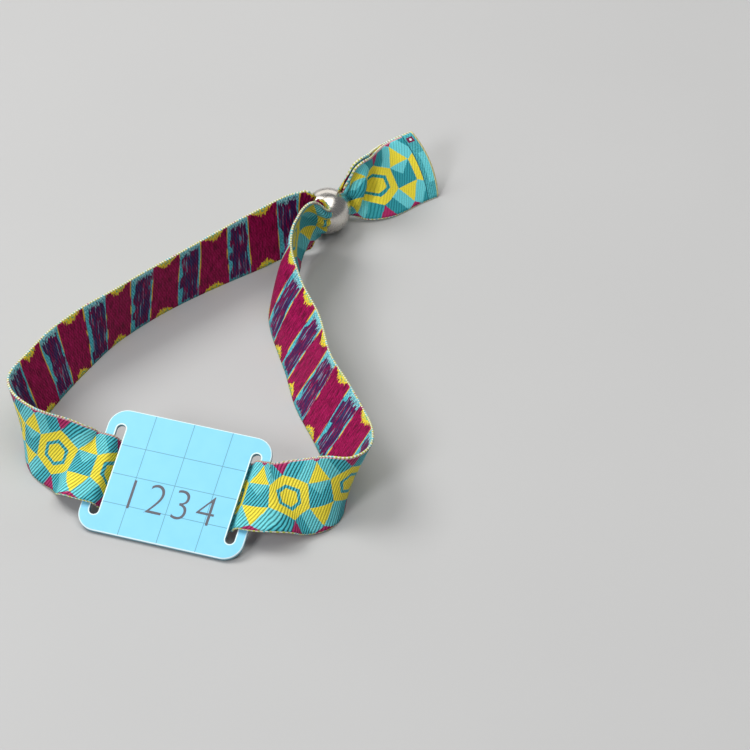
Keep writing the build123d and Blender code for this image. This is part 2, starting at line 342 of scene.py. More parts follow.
# Band: one polyester ribbon, woven in colours, 15 mm wide. It starts as a flat strip, and is laid through
# the bead, round the right bend, down one slot of the card and up the other, round the left bend and back to
# the bead. Its free ends are pressed flat and sealed.
band_width = 0.015
band_thick = 0.0005
layer_gap = 0.00015
tail_length = 0.0219
tail_turn = 32.0
left_shift = -0.0005
right_shift = 0.0008
left_skew = 6.0
right_skew = 14.0
card_clear = 0.0003
cad_wall = 0.001
bow = 0.0012
bow_reach = 0.008
bow_stations = 12
threads = 24
along_cuts = 900
slot_extra_cuts = 2.5
slot_cuts_reach = 0.0018
bore_curl = 60.0
pleats = 3.5
bundle_wide = 1.46
mouth_clear = 0.0003
free_station_gap = 0.0002
held_station_gap = 0.0001
pass_height = card_thick / 2 + cad_wall / 2 + card_clear
pass_step = slot_width * 0.3
pass_reach = card_length / 2 + cad_wall * 2
mouth_reach = bead_length / 2 + (bore_radius + rim_width) * sin(radians(bead_pitch)) + mouth_clear
front_mouth = bead_middle[:2] - bore_heading * mouth_reach
rear_mouth = bead_middle[:2] + bore_heading * mouth_reach
mouth_lift = mouth_reach * tan(radians(bead_pitch))

# along and out are shares of the straight distance between the stretch's two ends. lean and curl are degrees,
# and rise is a share of the nearer end's height. gather goes from 0, flat, to 1, pleated into the bore. apart
# is 1 where the run lies on the other run, and 0 where it lies alone.
row_names = ("along", "out", "lean", "rise", "curl", "gather", "apart")
tail_rows = (
    (0.05, 0.003, -4, 0.92, 76, 0.62, 1.0),
    (0.14, 0.014, -8, 0.72, 74, 0.16, 1.0),
    (0.29, 0.050, -18, 0.35, 60, 0.0, 1.0),
    (0.49, 0.058, -31, 0.05, 22, 0.0, 1.0),
    (0.76, 0.015, -42, 0.0, -16, 0.0, 1.0),
    (1.00, 0.000, -43, 0.0, -14, 0.0, 1.0),
)
right_rows = (
    (0.014, 0.006, -33, 1.25, 80, 0.43, 1.0),
    (0.030, 0.024, 15, 1.19, -17, 0.72, 1.0),
    (0.072, -0.020, 8, 1.25, 76, 0.00, 1.0),
    (0.116, -0.036, 2, 0.70, 47, 0.00, 0.7),
    (0.165, -0.039, -1, 0.78, 41, 0.00, 0.3),
    (0.228, -0.056, 13, 0.38, 28, 0.00, 0.0),
    (0.300, -0.047, 23, 0.12, 18, 0.00, 0.0),
    (0.371, -0.022, 26, 0.0, 13, 0.00, 0.0),
    (0.457, 0.016, 30, 0.0, 6, 0.00, 0.0),
    (0.599, 0.061, 29, 0.0, 0, 0.00, 0.0),
    (0.680, 0.102, 31, 0.0, 0, 0.00, 0.0),
    (0.778, 0.148, 33, 0.0, 0, 0.00, 0.0),
    (0.862, 0.180, 26, 0.0, 0, 0.00, 0.0),
    (0.935, 0.168, 8, 0.03, 0, 0.00, 0.0),
    (0.971, 0.110, -32, 0.12, 0, 0.00, 0.0),
    (0.984, 0.050, -54, 0.45, 0, 0.00, 0.0),
)
left_rows = (
    (0.003, 0.041, -37, 0.18, 0, 0.00, 0.0),
    (0.004, 0.107, -18, 0.06, 0, 0.00, 0.0),
    (0.026, 0.163, -2, 0.0, 0, 0.00, 0.0),
    (0.064, 0.206, 11, 0.0, 0, 0.00, 0.0),
    (0.108, 0.228, 17, 0.0, 0, 0.00, 0.0),
    (0.161, 0.231, 17, 0.0, 0, 0.00, 0.0),
    (0.252, 0.232, 15, 0.0, 0, 0.00, 0.0),
    (0.339, 0.224, 9, 0.0, 0, 0.00, 0.0),
    (0.474, 0.198, -3, 0.0, 0, 0.00, 0.0),
    (0.615, 0.156, -5, 0.0, 0, 0.00, 0.0),
    (0.744, 0.106, -1, 0.0, 4, 0.00, 0.0),
    (0.820, 0.075, 3, 0.0, 3, 0.00, 0.0),
    (0.880, 0.047, 5, 0.10, -1, 0.00, 0.2),
    (0.928, 0.022, 6, 0.18, -6, 0.00, 0.7),
    (0.960, 0.002, 6, 0.35, -39, 0.00, 1.0),
    (0.980, -0.003, -2, 0.77, -70, 0.30, 1.0),
)


def column(rows, name):
    return [row[row_names.index(name)] for row in rows]


def eased(stops, values, places):
    """Values at the places, through the given ones without going past them."""
    stops, values = np.array(stops, float), np.array(values, float)
    rate = np.diff(values) / np.diff(stops)
    slope = np.zeros(len(values))
    for i in range(1, len(values) - 1):
        if rate[i - 1] * rate[i] > 0:
            slope[i] = 2 * rate[i - 1] * rate[i] / (rate[i - 1] + rate[i])
    span = np.clip(np.searchsorted(stops, places, side="right") - 1, 0, len(stops) - 2)
    width = stops[span + 1] - stops[span]
    t = (places - stops[span]) / width
    held = values[span] * (1 + 2 * t) * (1 - t) ** 2 + values[span + 1] * t * t * (3 - 2 * t)
    return held + slope[span] * width * t * (1 - t) ** 2 + slope[span + 1] * width * t * t * (t - 1)


def plan_line(knots, leave, arrive):
    """The smooth line in plan through the knots, in close points. An end with no direction is left free."""
    knots = np.array(knots, float)
    gaps = np.linalg.norm(np.diff(knots, axis=0), axis=1)
    stops = np.concatenate(([0.0], np.cumsum(gaps)))
    last = len(knots) - 1
    matrix, wanted = np.zeros((last + 1, last + 1)), np.zeros((last + 1, 2))
    for i in range(1, last):
        before, after = gaps[i - 1], gaps[i]
        matrix[i, i - 1 : i + 2] = (1 / before, 2 / before + 2 / after, 1 / after)
        wanted[i] = 3 * (knots[i] - knots[i - 1]) / before**2 + 3 * (knots[i + 1] - knots[i]) / after**2
    for i, other, way in ((0, 1, leave), (last, last - 1, arrive)):
        gap = gaps[min(i, other)]
        matrix[i, i] = 2 if way is None else 1
        matrix[i, other] = 1 if way is None else 0
        wanted[i] = 3 * (knots[max(i, other)] - knots[min(i, other)]) / gap if way is None else way
    slopes = np.linalg.solve(matrix, wanted)
    places = np.linspace(0, stops[-1], ceil(stops[-1] / free_station_gap) + 1)
    span = np.clip(np.searchsorted(stops, places, side="right") - 1, 0, last - 1)
    gap = gaps[span][:, None]
    t = (places - stops[span])[:, None] / gap
    near, far, out, back = knots[span], knots[span + 1], slopes[span] * gap, slopes[span + 1] * gap
    points = near * (1 + 2 * t) * (1 - t) ** 2 + out * t * (1 - t) ** 2
    points = points + far * t * t * (3 - 2 * t) + back * t * t * (t - 1)
    rates = (far - near) * 6 * t * (1 - t) + out * (1 - t) * (1 - 3 * t) + back * t * (3 * t - 2)
    return stops, places, points, rates / np.linalg.norm(rates, axis=1)[:, None]


share = np.linspace(-0.5, 0.5, threads + 1)


def flat_section(curl, apart):
    """Across the strip as (width, outward), flat or curled."""
    turn = radians(curl) * share
    across = band_width * share * np.sinc(turn / pi)
    bulge = band_width * share * turn / 2 * np.sinc(turn / 2 / pi) ** 2
    normal = np.stack((-np.sin(turn), np.cos(turn)), axis=1)
    return np.stack((across, bulge), axis=1) + normal * apart * (band_thick + layer_gap) / 2


def pleated_section():
    """Folded into one half of the bore, in pleats that are lower at the sides."""
    wide = bore_radius * bundle_wide * share
    middle = bore_radius * (0.45 - 0.55 * share**2)
    fold = bore_radius * (0.24 - 0.45 * share**2)
    return np.stack((wide, middle + fold * np.cos(2 * pi * pleats * share)), axis=1)


def stand_up(point, heading, lean, line, foot):
    """The section set across the heading, leaning, with its lowest corner at the height of foot."""
    outward = np.array((-heading[1], heading[0], 0.0))
    tilt = radians(lean)
    width = np.array((0.0, 0.0, cos(tilt))) + outward * sin(tilt)
    face = outward * cos(tilt) - np.array((0.0, 0.0, sin(tilt)))
    run = np.gradient(line, axis=0)
    normal = np.stack((-run[:, 1], run[:, 0]), axis=1) / np.linalg.norm(run, axis=1)[:, None]
    lowest = 1.0
    for side in (-1, 1):
        edge = line + normal * side * band_thick / 2
        lowest = min(lowest, (edge[:, 0] * width[2] + edge[:, 1] * face[2]).min())
    placed = line[:, :1] * width + line[:, 1:] * face + np.append(point, 0.0)
    placed[:, 2] += foot - lowest
    return placed


def held_section(place):
    """The strip where the card holds it, over an end, in a slot or behind, with its width and travel."""
    side = 1 if place >= 0 else -1
    beyond = max(abs(place) - slot_middle, 0.0) / (pass_reach - slot_middle)
    skew = radians(right_skew if side > 0 else left_skew) * beyond**2
    lift = np.tanh((abs(place) - slot_middle) / pass_step)
    slope = pass_height / pass_step * (1 - lift * lift) * side
    shift = np.interp(place, (-slot_middle, slot_middle), (left_shift, right_shift))
    shift += tan(skew) * beyond * (pass_reach - slot_middle) / 3
    point = card_middle + card_along * place + card_up * shift + card_face * pass_height * lift
    travel = -(card_along * cos(skew) + card_up * sin(skew) * side + card_face * slope)
    width = card_up * cos(skew) - card_along * sin(skew) * side
    return point + band_width * share[:, None] * width, width, travel / np.linalg.norm(travel)


def free_run(start, end, leave, arrive, rows, first, last):
    """A free stretch between two points in plan. What first and last hold at its ends are the lean, foot,
    curl, gather and apart. An end without them is free."""
    chord = end - start
    aside = np.array((-chord[1], chord[0]))
    steps = zip(column(rows, "along"), column(rows, "out"))
    knots = [start + chord * along + aside * out for along, out in steps]
    tracks = [column(rows, name) for name in ("lean", "rise", "curl", "gather", "apart")]
    for i, along in enumerate(column(rows, "along")):
        holder = first if (last is None or (first is not None and along < 0.5)) else last
        tracks[1][i] *= holder[1]
    for values, row, at in ((first, start, 0), (last, end, len(rows) + 1)):
        if values is not None:
            knots.insert(at, row)
            for track, value in zip(tracks, values):
                track.insert(at, value)
    stops, places, points, headings = plan_line(knots, leave, arrive)
    lean, foot, curl, gather, apart = [eased(stops, track, places) for track in tracks]
    stations = []
    for i in range(len(places)):
        line = (1 - gather[i]) * flat_section(curl[i], apart[i]) + gather[i] * pleated_section()
        stations.append(stand_up(points[i], headings[i], lean[i], line, foot[i]))
    return stations


def lay_band():
    """The whole band as points across it at close stations, from one free end to the other."""
    half = pleated_section()[:, 0].max() + band_thick / 2
    front, rear = bead_middle[2] - half + mouth_lift, bead_middle[2] - half - mouth_lift
    tail_end = rear_mouth + np.array((cos(radians(tail_turn)), sin(radians(tail_turn)))) * tail_length
    ends = []
    for place in (pass_reach, -pass_reach):
        line, width, travel = held_section(place)
        low = line[:, 2].min() - band_thick / 2 * sqrt(1 - width[2] ** 2)
        way = travel[:2] / np.linalg.norm(travel[:2])
        ends.append((line.mean(axis=0)[:2], way, (-degrees(acos(width[2])), low, 0.0, 0.0, 0.0)))
    (right_exit, right_way, right_held), (left_exit, left_way, left_held) = ends
    backwards = [(1 - row[0],) + row[1:] for row in reversed(tail_rows)]
    mirrored = [(row[0], -row[1], -row[2], row[3], -row[4], row[5], row[6]) for row in tail_rows]
    at_front, at_rear = (0.0, front, bore_curl, 1.0, 1.0), (0.0, rear, bore_curl, 1.0, 1.0)
    turned_front, turned_rear = (0.0, front, -bore_curl, 1.0, 1.0), (0.0, rear, -bore_curl, 1.0, 1.0)
    run = free_run(tail_end, rear_mouth, None, -bore_heading, backwards, None, at_rear)
    run += free_run(front_mouth, right_exit, -bore_heading, right_way, right_rows, at_front, right_held)
    held_places = np.arange(pass_reach, -pass_reach, -held_station_gap)[1:]
    run += [held_section(place)[0] for place in held_places]
    run += free_run(left_exit, front_mouth, left_way, bore_heading, left_rows, left_held, turned_front)
    run += free_run(rear_mouth, tail_end, bore_heading, None, mirrored, turned_rear, None)
    return np.array(run)


laid = lay_band()
gaps = np.linalg.norm(np.diff(laid.mean(axis=1), axis=0), axis=1)
laid, gaps = laid[np.append(True, gaps > 1e-7)], gaps[gaps > 1e-7]
reach = np.concatenate(([0.0], np.cumsum(gaps)))
band_length = reach[-1]

# The dent across the double tail: its depth, how far it is from the free end, its slant, the width of its
# slope on the free end's side and on the bead's, its middle and reach across, and the swelling beside it.
dent_deep = 0.0033
dent_place = 0.0154
dent_slant = -0.34
dent_outer_slope = 0.0024
dent_inner_slope = 0.0014
dent_middle = -0.0005
dent_across = 0.0048
swell_share = 0.8
swell_past = -0.0032
swell_along = 0.0017
swell_middle = -0.0010
swell_across = 0.0042
dent_limit = 0.022
tail_middle = np.argmin(np.abs(reach - tail_length / 2))
tail_along = laid[tail_middle - 5].mean(axis=0) - laid[tail_middle + 5].mean(axis=0)
tail_face = np.cross(tail_along, laid[tail_middle, -1] - laid[tail_middle, 0])
tail_face = tail_face / np.linalg.norm(tail_face)


def hump(value, middle, width):
    """1 at the middle, falling away smoothly on both sides."""
    return np.exp(-(((value - middle) / width) ** 2))


def tail_dent(away):
    """How far both layers are pushed in by the dent across the double tail, and swell beside it."""
    across = band_width * share[None, :]
    past = dent_place + dent_slant * across - away[:, None]
    slope = np.where(past > 0, dent_outer_slope, dent_inner_slope)
    valley = hump(past, 0.0, slope) * hump(across, dent_middle, dent_across)
    swell = hump(past, swell_past, swell_along) * hump(across, swell_middle, swell_across)
    return dent_deep * (swell_share * swell - valley)


def points_at(places):
    """The band's points at these distances from the front run's free end, with the ends cut in a bow."""
    flat = laid.reshape(len(laid), -1)
    found = np.stack([np.interp(places, reach, flat[:, k]) for k in range(flat.shape[1])], axis=1)
    found = found.reshape(len(places), threads + 1, 3)
    for end, inner, away in ((0, bow_stations, places), (-1, -1 - bow_stations, band_length - places)):
        out = laid[end].mean(axis=0) - laid[inner].mean(axis=0)
        out = out / np.linalg.norm(out)
        fade = np.clip(1 - away / bow_reach, 0, 1)
        found += fade[:, None, None] * bow * (1 - 4 * share**2)[None, :, None] * out
    away = np.minimum(places, band_length - places)
    found += np.where(away < dent_limit, 1, 0)[:, None, None] * tail_dent(away)[:, :, None] * tail_face
    return found


in_slots = []
for side in (1, -1):
    from_slot_middle = np.abs(laid.mean(axis=1) - (card_middle + card_along * side * slot_middle))
    in_slots.append(reach[np.argmin(from_slot_middle.sum(axis=1))])
close = np.linspace(0, band_length, 4000)
weight = 1 + sum(slot_extra_cuts * hump(close, slot, slot_cuts_reach) for slot in in_slots)
weight = np.concatenate(([0.0], np.cumsum((weight[1:] + weight[:-1]) / 2)))
places = np.interp(np.linspace(0, weight[-1], along_cuts + 1), weight, close)
woven = points_at(places)
bpy.ops.object.select_all(action="DESELECT")
bpy.ops.mesh.primitive_grid_add(x_subdivisions=along_cuts, y_subdivisions=threads, size=1)
band = named("woven_band")
cut = {}
for vertex in band.data.vertices:
    i, j = round((vertex.co.x + 0.5) * along_cuts), round((vertex.co.y + 0.5) * threads)
    cut[vertex.index] = (i, j)
    vertex.co = woven[i, j]
weave_map = band.data.uv_layers[0]
weave_map.name = "weave_mm"
for loop in band.data.loops:
    i, j = cut[loop.vertex_index]
    weave_map.data[loop.index].uv = (places[i] * 1000, share[j] * band_width * 1000)
bpy.ops.object.mode_set(mode="EDIT")
bpy.ops.mesh.select_all(action="SELECT")
bpy.ops.mesh.flip_normals()
bpy.ops.object.mode_set(mode="OBJECT")
cloth = band.modifiers.new("thickness", "SOLIDIFY")
cloth.thickness = band_thick
cloth.offset = 0
cloth.use_even_offset = False
cloth.material_offset = 1
cloth.material_offset_rim = 2


def group_with(name, inputs, outputs):
    """An empty node group with these named sockets, and its own two ends."""
    group = bpy.data.node_groups.new(name, "ShaderNodeTree")
    for label, kind, number in inputs:
        socket = group.interface.new_socket(name=label, in_out="INPUT", socket_type=kind)
        if number is not None:
            socket.default_value = number
    for label, kind in outputs:
        group.interface.new_socket(name=label, in_out="OUTPUT", socket_type=kind)
    return group, group.nodes.new("NodeGroupInput").outputs, group.nodes.new("NodeGroupOutput").inputs


def strip_place(tree):
    """How far along the band and across it, in millimetres."""
    strip = tree.nodes.new("ShaderNodeUVMap")
    strip.uv_map = "weave_mm"
    apart = tree.nodes.new("ShaderNodeSeparateXYZ")
    tree.links.new(strip.outputs["UV"], apart.inputs[0])
    return strip.outputs["UV"], apart.outputs[0], apart.outputs[1]


def above(tree, value, limit):
    return step(tree, "GREATER_THAN", value, limit)


def under(tree, value, limit):
    return step(tree, "LESS_THAN", value, limit)


def both(tree, *masks):
    result = masks[0]
    for mask in masks[1:]:
        result = times(tree, result, mask)
    return result


def within(tree, value, low, high):
    return both(tree, above(tree, value, low), under(tree, value, high))


def from_free_end(tree, along):
    """How far the place is from the nearer free end, in millimetres."""
    return step(tree, "MINIMUM", along, minus(tree, band_length * 1000, along))


# The ribs that the weave makes: painted shade in their grooves, less on their crests and where threads float,
# a painted highlight on the crests of the darker colours, and their height, all of them fainter on the pulled
# tail. Places on the strip are in millimetres.
rib_lean = 0.52
rib_pitch = 0.62
float_pitch = 0.30
twill, source, result = group_with(
    "twill_ribs",
    (
        ("Strip", "NodeSocketVector", None),
        ("Colour", "NodeSocketColor", None),
        ("Groove_Shade", "NodeSocketFloat", 0.5),
    ),
    (("Colour", "NodeSocketColor"), ("Height", "NodeSocketFloat")),
)
apart = twill.nodes.new("ShaderNodeSeparateXYZ")
twill.links.new(source["Strip"], apart.inputs[0])
along, across = apart.outputs[0], apart.outputs[1]
rib = step(twill, "DIVIDE", plus(twill, along, times(twill, across, rib_lean)), rib_pitch)
wander = times(twill, minus(twill, speckle(twill, source["Strip"], 1.1, 2.0), 0.5), 0.35)
rib = plus(twill, rib, wander)
crest = between(twill, step(twill, "PINGPONG", rib, 0.5), 0.02, 0.36)
float_row = step(twill, "DIVIDE", across, float_pitch)
float_row = plus(twill, float_row, times(twill, step(twill, "FLOOR", rib), 0.5))
thread = between(twill, step(twill, "PINGPONG", float_row, 0.5), 0.0, 0.34)
fuzz = speckle(twill, source["Strip"], 7.0, 3.0, stretch=(2.2, 0.7, 1.0))
full = between(twill, from_free_end(twill, along), 15.0, 26.0, 0.35, 1.0)
height = plus(twill, times(twill, crest, 0.62), times(twill, thread, 0.22))
height = plus(twill, times(twill, height, full), times(twill, fuzz, 0.30))
# Painted shade: full in the grooves, less on the crests, least where a thread floats.
lit = times(twill, crest, plus(twill, 0.65, times(twill, thread, 0.35)))
shade = times(twill, minus(twill, 1.0, lit), source["Groove_Shade"])
parts = twill.nodes.new("ShaderNodeSeparateColor")
twill.links.new(source["Colour"], parts.inputs["Color"])
paler = between(twill, parts.outputs["Red"], 0.2, 0.95, 1.0, 0.74)
shade = times(twill, times(twill, shade, paler), full)
# The colour of the grooves' painted shade: the source darkened.
dark = twill.nodes.new("ShaderNodeHueSaturation")
dark.inputs["Value"].default_value = 0.20
dark.inputs["Saturation"].default_value = 1.12
twill.links.new(source["Colour"], dark.inputs["Color"])
light = twill.nodes.new("ShaderNodeHueSaturation")
twill.links.new(source["Colour"], light.inputs["Color"])
twill.links.new(between(twill, fuzz, 0.30, 0.70, 0.86, 1.16), light.inputs["Value"])
# A painted highlight on the crests, on the darker colours only.
crest_highlight = twill.nodes.new("ShaderNodeHueSaturation")
crest_highlight.inputs["Value"].default_value = 2.0
crest_highlight.inputs["Saturation"].default_value = 0.92
twill.links.new(light.outputs["Color"], crest_highlight.inputs["Color"])
deep = between(twill, parts.outputs["Red"], 0.03, 0.14, 1.0, 0.0)
crest_highlight_share = both(twill, crest, deep, source["Groove_Shade"], full)
crest_highlit_colour = tint(twill, crest_highlight_share, light.outputs["Color"], crest_highlight.outputs["Color"])
twill.links.new(tint(twill, shade, crest_highlit_colour, dark.outputs["Color"]), result["Colour"])
twill.links.new(height, result["Height"])


def woven_finish(name, colour_of, groove_shade, relief, shine=1.0):
    """Woven cloth in its own colours, its painted groove shade as dark and its relief as deep as is asked."""
    material, tree, shader = new_material(name)
    strip, along, across = strip_place(tree)
    ribs = tree.nodes.new("ShaderNodeGroup")
    ribs.node_tree = twill
    tree.links.new(strip, ribs.inputs["Strip"])
    tree.links.new(colour_of(tree, strip, along, across), ribs.inputs["Colour"])
    ribs.inputs["Groove_Shade"].default_value = groove_shade
    tree.links.new(ribs.outputs["Colour"], shader.inputs["Base Color"])
    roughness = between(tree, ribs.outputs["Height"], 0.2, 1.0, 0.78, 0.52)
    tree.links.new(roughness, shader.inputs["Roughness"])
    shader.inputs["Sheen Weight"].default_value = 0.05 * shine
    shader.inputs["Sheen Roughness"].default_value = 0.4
    shader.inputs["Specular IOR Level"].default_value = 0.25 * shine
    raise_surface(tree, shader, ribs.outputs["Height"], relief)
    return material


# The front's woven pattern of hexagons, squares and triangles, and the sealed hem at each free end, with
# sizes in millimetres. The pattern follows the ribs in small steps, as a weave does.
light_teal, dark_teal = (0.17, 0.72, 0.78), (0.016, 0.28, 0.33)
yellow, magenta = (0.95, 0.79, 0.055), (0.47, 0.024, 0.140)
hexagon_side = 4.8
apothem = hexagon_side * sqrt(3) / 2
repeat = hexagon_side * (1 + sqrt(3))
upper_row = hexagon_side * (1 + sqrt(3)) * sqrt(3) / 2
cos_60, sin_60 = 0.5, 0.866
ring_inner, ring_outer = 1.75, 2.45
pick_step = 0.12
edge_stripe = 7.2
edge_stripe_colour = (0.62, 0.36, 0.38)
hem = 2.7
hem_groove = 0.10
# Painted shade for the thin line of the hem's pressed seam.
seam_shade_colour = (0.010, 0.13, 0.16)
melted_edge = 0.35
melted_colour = (0.72, 0.66, 0.30)
pressed_dark, pressed_light = (0.025, 0.26, 0.30), (0.09, 0.50, 0.55)
smooth_dark, smooth_light = (0.13, 0.62, 0.68), (0.19, 0.76, 0.81)
smooth_length = 1.7
smooth_middle = -0.6
smooth_half_width = 3.4
stain_along, stain_across = (0.8, 2.3), (5.5, 6.7)
stain_colour = (0.22, 0.012, 0.075)
# Where the painted glint of a small melted drop sits on the stain, and its colour.
drop_along, drop_across, drop_radius = 1.5, 6.1, 0.3
drop_glint_colour = (0.92, 0.90, 0.88)


def hem_colours(tree, strip, across, from_end):
    """Pressed hem, smoother middle, and a stain near a corner with a painted glint of a melted drop."""
    pressed = between(tree, speckle(tree, strip, 3.2, 3.0), 0.30, 0.70)
    from_middle = unsigned(tree, minus(tree, across, smooth_middle))
    smooth = both(tree, under(tree, from_end, smooth_length), under(tree, from_middle, smooth_half_width))
    colour = tint(tree, pressed, pressed_dark, pressed_light)
    colour = tint(tree, smooth, colour, tint(tree, pressed, smooth_dark, smooth_light))
    stained = both(tree, within(tree, across, *stain_across), within(tree, from_end, *stain_along))
    colour = tint(tree, stained, colour, stain_colour)
    # A pale spot painted on the stain as the glint of a melted drop.
    from_drop = distance(tree, minus(tree, from_end, drop_along), minus(tree, across, drop_across))
    return tint(tree, under(tree, from_drop, drop_radius), colour, drop_glint_colour)


def front_colours(tree, strip, along, across):
    """Hexagons, squares and triangles fitted together along the band, up to its hems."""
    row = step(tree, "SNAP", across, pick_step)
    rib = plus(tree, along, times(tree, across, rib_lean))
    u = minus(tree, step(tree, "SNAP", rib, rib_pitch / 4), times(tree, row, rib_lean))
    x = step(tree, "PINGPONG", u, repeat / 2)
    y = unsigned(tree, row)
    p = plus(tree, times(tree, x, cos_60), times(tree, y, sin_60))
    q = minus(tree, times(tree, y, cos_60), times(tree, x, sin_60))
    middle = step(tree, "MAXIMUM", x, p)
    beyond = above(tree, p, apothem)
    colour = tint(tree, both(tree, above(tree, q, hexagon_side / 2), beyond), yellow, magenta)
    tilted = both(tree, beyond, under(tree, unsigned(tree, q), hexagon_side / 2))
    colour = tint(tree, tilted, colour, tint(tree, above(tree, q, 0.0), light_teal, dark_teal))
    flat = both(tree, above(tree, x, apothem), under(tree, y, hexagon_side / 2))
    slanted = plus(tree, minus(tree, x, repeat / 2), row)
    colour = tint(tree, flat, colour, tint(tree, above(tree, slanted, 0.0), dark_teal, light_teal))
    colour = tint(tree, under(tree, middle, apothem), colour, yellow)
    colour = tint(tree, within(tree, middle, ring_inner, ring_outer), colour, dark_teal)
    upper_x = minus(tree, repeat / 2, x)
    upper_y = times(tree, minus(tree, upper_row, y), sin_60)
    upper = step(tree, "MAXIMUM", upper_x, plus(tree, times(tree, upper_x, cos_60), upper_y))
    colour = tint(tree, under(tree, upper, apothem), colour, magenta)
    colour = tint(tree, above(tree, across, edge_stripe), colour, edge_stripe_colour)
    from_end = from_free_end(tree, along)
    colour = tint(tree, under(tree, from_end, hem), colour, hem_colours(tree, strip, across, from_end))
    # A thin line of painted shade along the hem's pressed seam.
    seam_shade_share = under(tree, unsigned(tree, minus(tree, from_end, hem)), hem_groove)
    colour = tint(tree, seam_shade_share, colour, seam_shade_colour)
    return tint(tree, under(tree, from_end, melted_edge), colour, melted_colour)


# The reverse's colours. Every repeat of the front's pattern has one maroon block, with teal and yellow lines
# along its sides and yellow bitten into its ends, and one dark block of streaks with teal teeth.
maroon_dark, maroon_light = (0.185, 0.002, 0.042), (0.390, 0.004, 0.090)
strand_light, strand_dark = (0.490, 0.012, 0.125), (0.100, 0.002, 0.025)
plum, navy, streak_blue = (0.042, 0.009, 0.070), (0.025, 0.045, 0.130), (0.060, 0.320, 0.430)
line_teals = (0.020, 0.260, 0.320), (0.110, 0.560, 0.640)
tooth_teals = (0.040, 0.300, 0.360), (0.360, 0.720, 0.740)
lower_teal = (0.060, 0.330, 0.380)
line_yellow, bite_yellow = (0.75, 0.50, 0.04), (0.80, 0.62, 0.03)
moss_green = (0.16, 0.42, 0.20)
half_width = band_width * 1000 / 2
block_edge = 3.70
line_wide = 0.26
bite_long, bite_deep = 2.35, 1.45
tooth_deep = 1.15
lower_start = -6.9


def reverse_colours(tree, strip, along, across):
    """The floats behind the pattern: wide maroon blocks and dark, streaked ones, with ragged edges."""
    wander = minus(tree, speckle(tree, strip, 0.16, 0.0, stretch=(1.0, 0.62, 1.0)), 0.5)
    ragged = minus(tree, speckle(tree, strip, 2.0, 1.0, stretch=(2.2, 0.05, 1.0)), 0.5)
    spikes = minus(tree, speckle(tree, strip, 3.4, 1.0, stretch=(1.0, 0.18, 1.0)), 0.5)
    thick = speckle(tree, strip, 0.5, 0.0, stretch=(1.0, 0.5, 1.0))
    fine = speckle(tree, strip, 4.2, 2.0, stretch=(1.0, 0.45, 1.0))
    streak = speckle(tree, strip, 1.7, 2.0, stretch=(1.7, 0.10, 1.0))
    strands = speckle(tree, strip, 2.9, 2.0, stretch=(1.2, 0.13, 1.0))
    u = plus(tree, along, times(tree, wander, 1.2))
    x = step(tree, "PINGPONG", u, repeat / 2)
    d = minus(tree, plus(tree, x, times(tree, ragged, 0.5)), block_edge)
    maroon = tint(tree, between(tree, fine, 0.30, 0.72), maroon_dark, maroon_light)
    maroon = tint(tree, between(tree, strands, 0.52, 0.68, 0.0, 0.60), maroon, strand_light)
    maroon = tint(tree, between(tree, strands, 0.34, 0.50, 0.85, 0.0), maroon, strand_dark)
    dark = tint(tree, between(tree, streak, 0.49, 0.58), plum, maroon)
    dark = tint(tree, between(tree, streak, 0.61, 0.64), dark, streak_blue)
    dark = tint(tree, between(tree, streak, 0.36, 0.41, 1.0, 0.0), dark, navy)
    colour = tint(tree, above(tree, d, 0.25), maroon, dark)
    first_side = under(tree, step(tree, "FRACT", step(tree, "DIVIDE", u, repeat)), 0.5)
    wide = between(tree, thick, 0.35, 0.65, 0.25, 0.95)
    wide = times(tree, wide, plus(tree, 0.55, times(tree, first_side, 0.75)))
    teal_line = both(tree, above(tree, d, 0.0), under(tree, minus(tree, d, wide), 0.0))
    colour = tint(tree, teal_line, colour, tint(tree, between(tree, fine, 0.35, 0.65), *line_teals))
    unbroken = above(tree, plus(tree, thick, times(tree, ragged, 0.6)), 0.47)
    yellow_line = both(tree, within(tree, d, -line_wide, 0.0), unbroken)
    colour = tint(tree, yellow_line, colour, line_yellow)
    bite = step(tree, "POWER", step(tree, "DIVIDE", x, bite_long), 2.0)
    inset = minus(tree, half_width, unsigned(tree, across))
    bite = plus(tree, bite, step(tree, "DIVIDE", inset, bite_deep))
    bite = plus(tree, bite, times(tree, spikes, 2.2))
    colour = tint(tree, under(tree, bite, 1.0), colour, bite_yellow)
    mossy = both(tree, under(tree, bite, 0.62), above(tree, speckle(tree, strip, 2.4, 2.0), 0.50))
    colour = tint(tree, mossy, colour, moss_green)
    dark_block = above(tree, d, 0.1)
    teeth = plus(tree, minus(tree, half_width, across), times(tree, spikes, 4.5))
    teeth = both(tree, dark_block, under(tree, teeth, tooth_deep))
    colour = tint(tree, teeth, colour, tint(tree, between(tree, fine, 0.40, 0.60), *tooth_teals))
    lower = under(tree, plus(tree, across, times(tree, spikes, 3.0)), lower_start)
    return tint(tree, both(tree, dark_block, lower), colour, lower_teal)


edge_red, edge_green = (0.50, 0.20, 0.20), (0.55, 0.62, 0.55)


def rim_colours(tree, strip, along, across):
    """The cut edge of the cloth, where the selvedge doesn't hide it."""
    return tint(tree, speckle(tree, strip, 2.2, 2.0), edge_red, edge_green)


for material in (
    woven_finish("woven_front", front_colours, groove_shade=0.92, relief=0.00012),
    woven_finish("woven_reverse", reverse_colours, groove_shade=0.22, relief=0.00005, shine=0.4),
    woven_finish("woven_rim", rim_colours, groove_shade=0.4, relief=0.00005),
):
    band.data.materials.append(material)
only(band)
bpy.ops.object.modifier_apply(modifier="thickness")
bpy.ops.object.shade_smooth()

# Selvedges: the ribbon's two edges, bound by threads that turn back at every second pick, which makes a fine
# row of rounded loops. They are woven in one with it.
loop_pitch = 0.00065
thread_out = 0.00018
thread_face = 0.00029
rings_per_loop = 4
around = 8
around_mm = 0.25
end_gap = 0.0001
cream = (0.80, 0.79, 0.68)
bound_teal, bound_olive, bound_maroon = (0.08, 0.46, 0.50), (0.50, 0.52, 0.07), (0.36, 0.04, 0.12)


